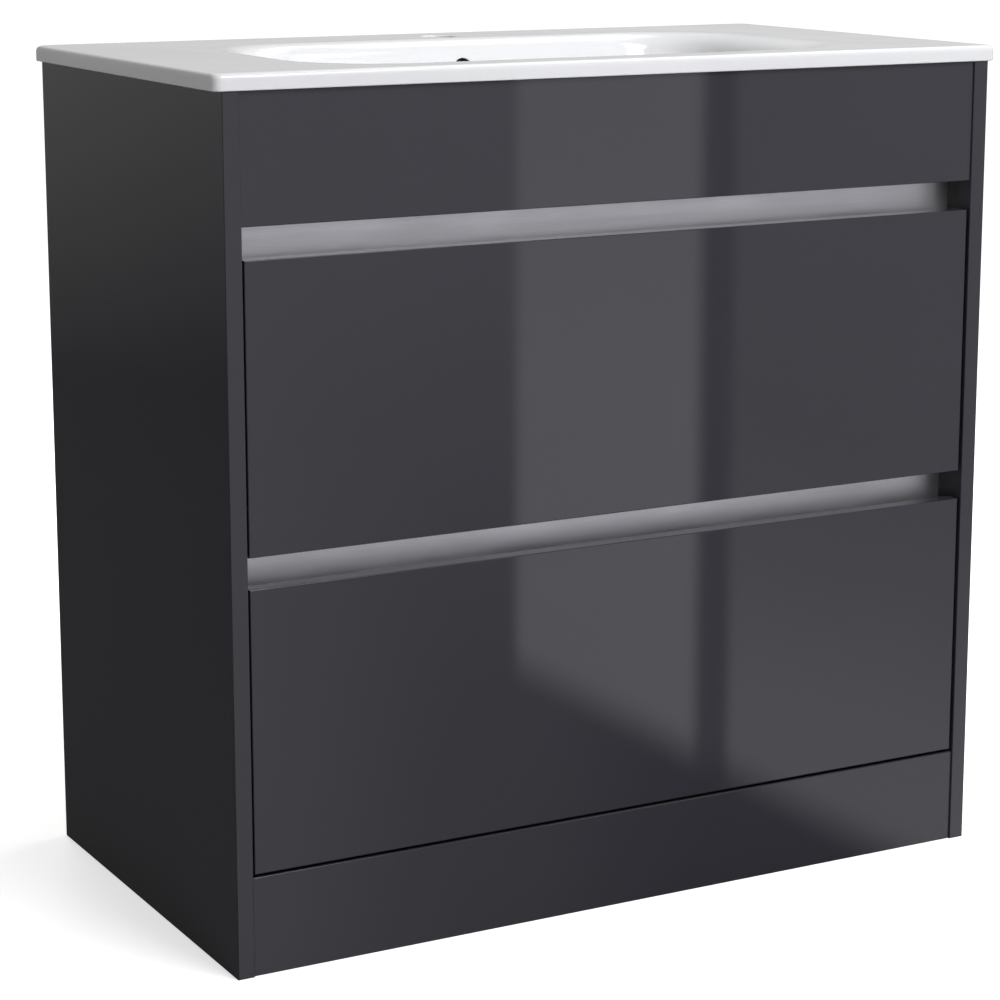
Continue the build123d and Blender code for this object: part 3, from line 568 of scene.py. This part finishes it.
def gloss_board():
    """Sprayed anthracite lacquer on fibreboard, polished, with an uncoated rear edge."""
    uniform = {"IOR": 1.5, "Specular_IOR_Level": 0.0, "Coat_Roughness": 0.028, "Coat_IOR": 1.5}
    finish, tree, shader, place = new_finish("gloss_anthracite_lacquer", **uniform)
    marks = use(tree, HANDLING_MARKS, Coordinates=place, Size=3.0, Least=0.3, Most=0.42)
    worn = use(tree, EDGE_WEAR, Coordinates=place, Radius=0.0009, Amount=0.35)["Mask"]
    core = use(tree, PRESSED_CORE, Coordinates=place, Fleck=0.25)
    spray = use(tree, SPRAYED_LACQUER, Coordinates=place, Ripple=0.9, Peel=0.05)
    parts = put(tree, "ShaderNodeSeparateXYZ", {0: place})
    rear = ranged(tree, parts.outputs["Y"], RIM_Y - 0.0009, RIM_Y - 0.0002)
    tone = blended(tree, marks["Patches"], (0.0358, 0.0348, 0.0425, 1), (0.0378, 0.0368, 0.0448, 1))
    rubbed = blended(tree, worn, tone, (0.085, 0.084, 0.094, 1))
    tree.links.new(blended(tree, rear, rubbed, core["Color"]), shader["Base Color"])
    rough = maths(tree, "ADD", marks["Roughness"], maths(tree, "MULTIPLY", rear, 0.4))
    tree.links.new(rough, shader["Roughness"])
    tree.links.new(maths(tree, "SUBTRACT", 1.0, rear), shader["Coat Weight"])
    height = maths(tree, "ADD", spray["Height"], maths(tree, "MULTIPLY", rear, core["Height"]))
    tree.links.new(bumped(tree, height, 0.00002, 0.3), shader["Normal"])
    return finish


def carcass_board():
    """Satin anthracite melamine with a fine pressed texture."""
    finish, tree, shader, place = new_finish("satin_anthracite_melamine", IOR=1.48)
    marks = use(tree, HANDLING_MARKS, Coordinates=place, Size=7.0, Least=0.38, Most=0.52)
    worn = use(tree, EDGE_WEAR, Coordinates=place, Radius=0.0007, Amount=0.7)["Mask"]
    grain = noise(tree, place, 1500.0, 2.0)
    tone = blended(tree, marks["Patches"], (0.05, 0.05, 0.055, 1), (0.062, 0.062, 0.068, 1))
    tree.links.new(blended(tree, worn, tone, (0.19, 0.15, 0.11, 1)), shader["Base Color"])
    tree.links.new(marks["Roughness"], shader["Roughness"])
    tree.links.new(bumped(tree, grain, 0.00008, 0.5), shader["Normal"])
    return finish


def drawer_board():
    """Light grey linen-print melamine."""
    finish, tree, shader, place = new_finish("grey_linen_melamine", IOR=1.48)
    marks = use(tree, HANDLING_MARKS, Coordinates=place, Size=6.0, Least=0.42, Most=0.55)
    threads = use(tree, LINEN_WEAVE, Coordinates=place, Thread=2800.0)["Threads"]
    worn = use(tree, EDGE_WEAR, Coordinates=place, Radius=0.0007, Amount=0.6)["Mask"]
    weave = blended(tree, threads, (0.33, 0.325, 0.31, 1), (0.50, 0.49, 0.47, 1))
    tone = blended(tree, maths(tree, "MULTIPLY", marks["Patches"], 0.12), weave, (0.40, 0.395, 0.38, 1))
    tree.links.new(blended(tree, worn, tone, (0.24, 0.18, 0.12, 1)), shader["Base Color"])
    tree.links.new(marks["Roughness"], shader["Roughness"])
    tree.links.new(bumped(tree, threads, 0.00006, 0.5), shader["Normal"])
    return finish


def satin_aluminium():
    """Satin anodised aluminium with die lines along the extrusion."""
    finish, tree, shader, place = new_finish("satin_anodised_aluminium", Metallic=1.0)
    lines = use(tree, BRUSHED_LINES, Coordinates=place, Stretch=(30.0, 1700.0, 1700.0))
    marks = use(tree, HANDLING_MARKS, Coordinates=place, Size=9.0, Least=0.4, Most=0.46)
    worn = use(tree, EDGE_WEAR, Coordinates=place, Radius=0.0005, Amount=0.5)["Mask"]
    tone = blended(tree, lines["Lines"], (0.71, 0.712, 0.73, 1), (0.77, 0.772, 0.79, 1))
    tree.links.new(blended(tree, worn, tone, (0.86, 0.865, 0.88, 1)), shader["Base Color"])
    rough = maths(tree, "ADD", marks["Roughness"], maths(tree, "MULTIPLY", lines["Broad"], 0.03))
    tree.links.new(rough, shader["Roughness"])
    tree.links.new(bumped(tree, lines["Lines"], 0.000008, 0.3), shader["Normal"])
    return finish


def glaze(name, light, dark):
    """White glaze over ceramic: a smooth pool with faint ripples and tiny pinholes."""
    finish, tree, shader, place = new_finish(name, IOR=1.52)
    marks = use(tree, HANDLING_MARKS, Coordinates=place, Size=4.0, Least=0.05, Most=0.12)
    pool = use(tree, SPRAYED_LACQUER, Coordinates=place, Ripple=1.0, Peel=0.03)
    specks = put(tree, "ShaderNodeTexVoronoi", {"Vector": place, "Scale": 240.0})
    pin = ranged(tree, specks.outputs["Distance"], 0.045, 0.02)
    tone = blended(tree, marks["Patches"], light, dark)
    pinned = blended(tree, maths(tree, "MULTIPLY", pin, 0.3), tone, [0.8 * v for v in dark[:3]] + [1])
    tree.links.new(pinned, shader["Base Color"])
    tree.links.new(marks["Roughness"], shader["Roughness"])
    tree.links.new(bumped(tree, pool["Height"], 0.00005, 0.35), shader["Normal"])
    return finish


def plated_steel(name, light, dark, least, most, stretch=(900.0, 5.0, 900.0)):
    """Zinc-plated steel: faint rolling lines, cloudy passivation and brighter rubbed edges."""
    finish, tree, shader, place = new_finish(name, Metallic=1.0)
    lines = use(tree, BRUSHED_LINES, Coordinates=place, Stretch=stretch)
    marks = use(tree, HANDLING_MARKS, Coordinates=place, Size=22.0, Least=least, Most=most)
    worn = use(tree, EDGE_WEAR, Coordinates=place, Radius=0.0004, Amount=0.8)["Mask"]
    cloud = blended(tree, marks["Patches"], dark, light)
    tone = blended(tree, maths(tree, "MULTIPLY", lines["Lines"], 0.3), cloud, light)
    tree.links.new(blended(tree, worn, tone, (0.78, 0.78, 0.78, 1)), shader["Base Color"])
    tree.links.new(marks["Roughness"], shader["Roughness"])
    tree.links.new(bumped(tree, lines["Lines"], 0.00001, 0.3), shader["Normal"])
    return finish


def cast_zinc():
    """Die-cast zinc with a fine grainy skin."""
    finish, tree, shader, place = new_finish("die_cast_zinc", Metallic=1.0)
    marks = use(tree, HANDLING_MARKS, Coordinates=place, Size=60.0, Least=0.38, Most=0.55)
    worn = use(tree, EDGE_WEAR, Coordinates=place, Radius=0.0004, Amount=0.7)["Mask"]
    grain = noise(tree, place, 2600.0, 2.0)
    tone = blended(tree, marks["Patches"], (0.40, 0.40, 0.42, 1), (0.52, 0.52, 0.53, 1))
    tree.links.new(blended(tree, worn, tone, (0.7, 0.7, 0.7, 1)), shader["Base Color"])
    tree.links.new(marks["Roughness"], shader["Roughness"])
    tree.links.new(bumped(tree, grain, 0.00003, 0.5), shader["Normal"])
    return finish


def beech():
    """Beech with its grain along the dowel and short dark flecks."""
    finish, tree, shader, place = new_finish("beech_dowel", IOR=1.45)
    lines = use(tree, BRUSHED_LINES, Coordinates=place, Stretch=(60.0, 1800.0, 1800.0))
    marks = use(tree, HANDLING_MARKS, Coordinates=place, Size=40.0, Least=0.55, Most=0.7)
    grain = blended(tree, lines["Lines"], (0.50, 0.33, 0.19, 1), (0.66, 0.47, 0.30, 1))
    flecks = maths(tree, "MULTIPLY", ranged(tree, lines["Broad"], 0.7, 0.95), 0.5)
    tree.links.new(blended(tree, flecks, grain, (0.34, 0.20, 0.11, 1)), shader["Base Color"])
    tree.links.new(marks["Roughness"], shader["Roughness"])
    tree.links.new(bumped(tree, lines["Lines"], 0.00005, 0.5), shader["Normal"])
    return finish


FINISHES = {
    "white_ceramic": glaze("white_glaze", (0.86, 0.865, 0.865, 1), (0.84, 0.845, 0.85, 1)),
    "gloss_board": gloss_board(),
    "carcass_board": carcass_board(),
    "drawer_board": drawer_board(),
    "satin_aluminium": satin_aluminium(),
    "zinc_steel": plated_steel("zinc_plated_strip", (0.62, 0.63, 0.65, 1), (0.48, 0.49, 0.51, 1), 0.24, 0.4),
    "fastener_steel": plated_steel(
        "zinc_plated_screws", (0.60, 0.60, 0.60, 1), (0.42, 0.42, 0.44, 1), 0.2, 0.36
    ),
    "cast_zinc": cast_zinc(),
    "bearing_steel": plated_steel(
        "polished_bearing_steel", (0.66, 0.66, 0.68, 1), (0.56, 0.56, 0.58, 1), 0.08, 0.2
    ),
    "beech": beech(),
}
# A near-black copy of the glaze for the overflow's deep faces: painted shade for the dark inside of the duct,
# not a colour of the ceramic.
DUCT_SHADE = glaze("painted_shade_duct", (0.035, 0.036, 0.038, 1), (0.02, 0.02, 0.022, 1))

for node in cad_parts.values():
    slot = node.data.materials[0].name
    node.data.materials[0] = FINISHES[slot]


def finish_piece(piece, body, slot, *nodes):
    """Give a new piece its finish and the body it moves with, and the nodes it stands for."""
    piece.data.materials.append(FINISHES[slot])
    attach(piece, body)
    if nodes:
        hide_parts(*nodes)


basin, which = make_basin()
finish_piece(basin, "cabinet", "white_ceramic", "basin")
# Second slot: the painted shade on the overflow duct's deep faces.
basin.data.materials.append(DUCT_SHADE)
basin.data.polygons.foreach_set("material_index", which)
finish_piece(make_overflow_duct(), "cabinet", "white_ceramic", "basin")

for level in ("upper", "lower"):
    channel = make_finger_channel(level)
    finish_piece(channel, "cabinet", "satin_aluminium", f"finger_channel_{level}")

# === Studio =================================================================================


FIRST_WINDOW = (-2.635, -2.565)
POST = (-2.0, -1.935)
SECOND_WINDOW = (-1.895, -1.84)
SILL = (-0.58, -0.47)
POST_GLOW = 0.2
WALL_GLOW = 0.64


def room_glow(tree, parts):
    """Brightness of the room's far side along y and z: a pale wall that dims towards the
    windows and the ground, then two tall windows with a dark post between them, above a sill.
    Each edge is soft, and runs from the first to the second of its two numbers."""
    along, rise = parts["Y"], parts["Z"]
    near = ranged(tree, along, -4.2, -2.5)
    low = ranged(tree, rise, 0.6, -0.9)
    fall = maths(tree, "ADD", maths(tree, "MULTIPLY", low, 0.36), 0.06)
    wall = maths(tree, "SUBTRACT", WALL_GLOW, maths(tree, "MULTIPLY", near, fall))
    first = ranged(tree, rise, 0.6, 0.0, 1.13, 1.3)
    second = ranged(tree, rise, 0.12, -0.5, 0.53, 1.02)
    light = crossed(tree, ranged(tree, along, *FIRST_WINDOW), wall, first)
    light = crossed(tree, ranged(tree, along, *POST), light, POST_GLOW)
    light = crossed(tree, ranged(tree, along, *SECOND_WINDOW), light, second)
    under = maths(tree, "MULTIPLY", wall, ranged(tree, along, -1.9, -2.6))
    return crossed(tree, ranged(tree, rise, *SILL), under, light)


def stand_room_side():
    """An upright sheet of light to the right of the cabinet that only mirror-like surfaces
    see, so that the lacquer and the aluminium have a room to reflect."""
    mesh = bpy.data.meshes.new("room_side")
    corners = [(1.2, -9, -3), (1.2, -0.9, -3), (1.2, -0.9, 3), (1.2, -9, 3)]
    mesh.from_pydata(corners, [], [(0, 1, 2, 3)])
    panel = bpy.data.objects.new("room_side", mesh)
    bpy.context.scene.collection.objects.link(panel)
    paint = bpy.data.materials.new("room_side")
    paint.use_nodes = True
    tree = paint.node_tree
    tree.nodes.remove(tree.nodes["Principled BSDF"])
    place = put(tree, "ShaderNodeTexCoord").outputs["Object"]
    parts = put(tree, "ShaderNodeSeparateXYZ", {0: place}).outputs
    glow = {"Color": (0.985, 0.965, 1.03, 1), "Strength": room_glow(tree, parts)}
    light = put(tree, "ShaderNodeEmission", glow)
    tree.links.new(light.outputs[0], tree.nodes["Material Output"].inputs["Surface"])
    mesh.materials.append(paint)
    panel.visible_camera = False
    panel.visible_diffuse = False
    panel.visible_shadow = False
    panel.visible_transmission = False


stand_room_side()


def area_light(name, place, target, size, power, tint=(1, 1, 1)):
    """A square soft light that looks at a target."""
    data = bpy.data.lights.new(name, "AREA")
    data.shape = "SQUARE"
    data.size = size
    data.energy = power
    data.color = tint
    lamp = bpy.data.objects.new(name, data)
    bpy.context.scene.collection.objects.link(lamp)
    direction = np.asarray(target, float) - np.asarray(place, float)
    lamp.location = place
    lamp.rotation_euler = Vector(direction).to_track_quat("-Z", "Y").to_euler()
    return lamp


area_light("key_softbox", (0.9, -2.7, 3.2), (0, 0, 0.5), 2.0, 115.0, (0.985, 0.985, 1.02))
area_light("top_softbox", (1.3, 0.4, 2.6), (0, 0, 0.7), 1.2, 19.0)
area_light("rear_fill", (0.3, 2.9, 1.5), (0, 0, 0.5), 1.2, 30.0).visible_glossy = False


def paint_world():
    """Camera rays see white, diffuse rays a soft grey room, and mirror rays a room that is
    pale above the horizon and dark below it."""
    world = bpy.data.worlds.new("studio_room")
    bpy.context.scene.world = world
    world.use_nodes = True
    tree = world.node_tree
    path = put(tree, "ShaderNodeLightPath").outputs
    direction = put(tree, "ShaderNodeTexCoord").outputs["Generated"]
    up = put(tree, "ShaderNodeSeparateXYZ", {0: direction}).outputs["Z"]
    mirror = ranged(tree, up, -0.175, 0.06, 0.07, 0.54, smooth=False)
    ambient = ranged(tree, up, -0.4, 0.8, 0.10, 0.18)
    room = crossed(tree, path["Is Glossy Ray"], ambient, mirror)
    seen = crossed(tree, path["Is Camera Ray"], room, 1.05)
    feed(tree, tree.nodes["Background"].inputs, {"Color": (1, 0.995, 0.99, 1), "Strength": seen})


def lay_floor():
    """A pale floor that takes a faint shadow and stays out of mirror-like surfaces."""
    mesh = bpy.data.meshes.new("studio_floor")
    mesh.from_pydata([(-9, -9, 0), (9, -9, 0), (9, 9, 0), (-9, 9, 0)], [], [(0, 1, 2, 3)])
    floor = bpy.data.objects.new("studio_floor", mesh)
    bpy.context.scene.collection.objects.link(floor)
    uniform = {"Base_Color": (0.8, 0.8, 0.8, 1), "Specular_IOR_Level": 0.0, "Emission_Color": (1, 1, 1, 1)}
    finish, tree, shader, place = new_finish("pale_floor", **uniform)
    marks = use(tree, HANDLING_MARKS, Coordinates=place, Size=1.0, Least=0.7, Most=0.8)
    tree.links.new(marks["Roughness"], shader["Roughness"])
    path = put(tree, "ShaderNodeLightPath").outputs
    away = put(tree, "ShaderNodeVectorMath", {0: place}, operation="LENGTH").outputs["Value"]
    lift = ranged(tree, away, 0.3, 1.1, 0.62, 1.0)
    tree.links.new(maths(tree, "MULTIPLY", path["Is Camera Ray"], lift), shader["Emission Strength"])
    mesh.materials.append(finish)
    floor.visible_glossy = False


def place_camera():
    """A long lens, turned 28.6 degrees to the right and looking 11.4 degrees down."""
    yaw, pitch = 0.49904, 0.19978
    across = np.array([math.cos(yaw), -math.sin(yaw), 0])
    ahead = np.array([math.sin(yaw) * math.cos(pitch), math.cos(yaw) * math.cos(pitch), -math.sin(pitch)])
    above = np.cross(across, ahead)
    data = bpy.data.cameras.new("camera")
    data.lens = 102.12
    data.sensor_width = 36.0
    data.shift_y = -0.06
    camera = bpy.data.objects.new("camera", data)
    bpy.context.scene.collection.objects.link(camera)
    turn = Matrix((across, above, -ahead)).transposed()
    camera.matrix_world = Matrix.Translation((-1.3310, -2.4111, 0.9693)) @ turn.to_4x4()
    bpy.context.scene.camera = camera


paint_world()
lay_floor()
place_camera()
bpy.context.scene.view_settings.view_transform = "Standard"
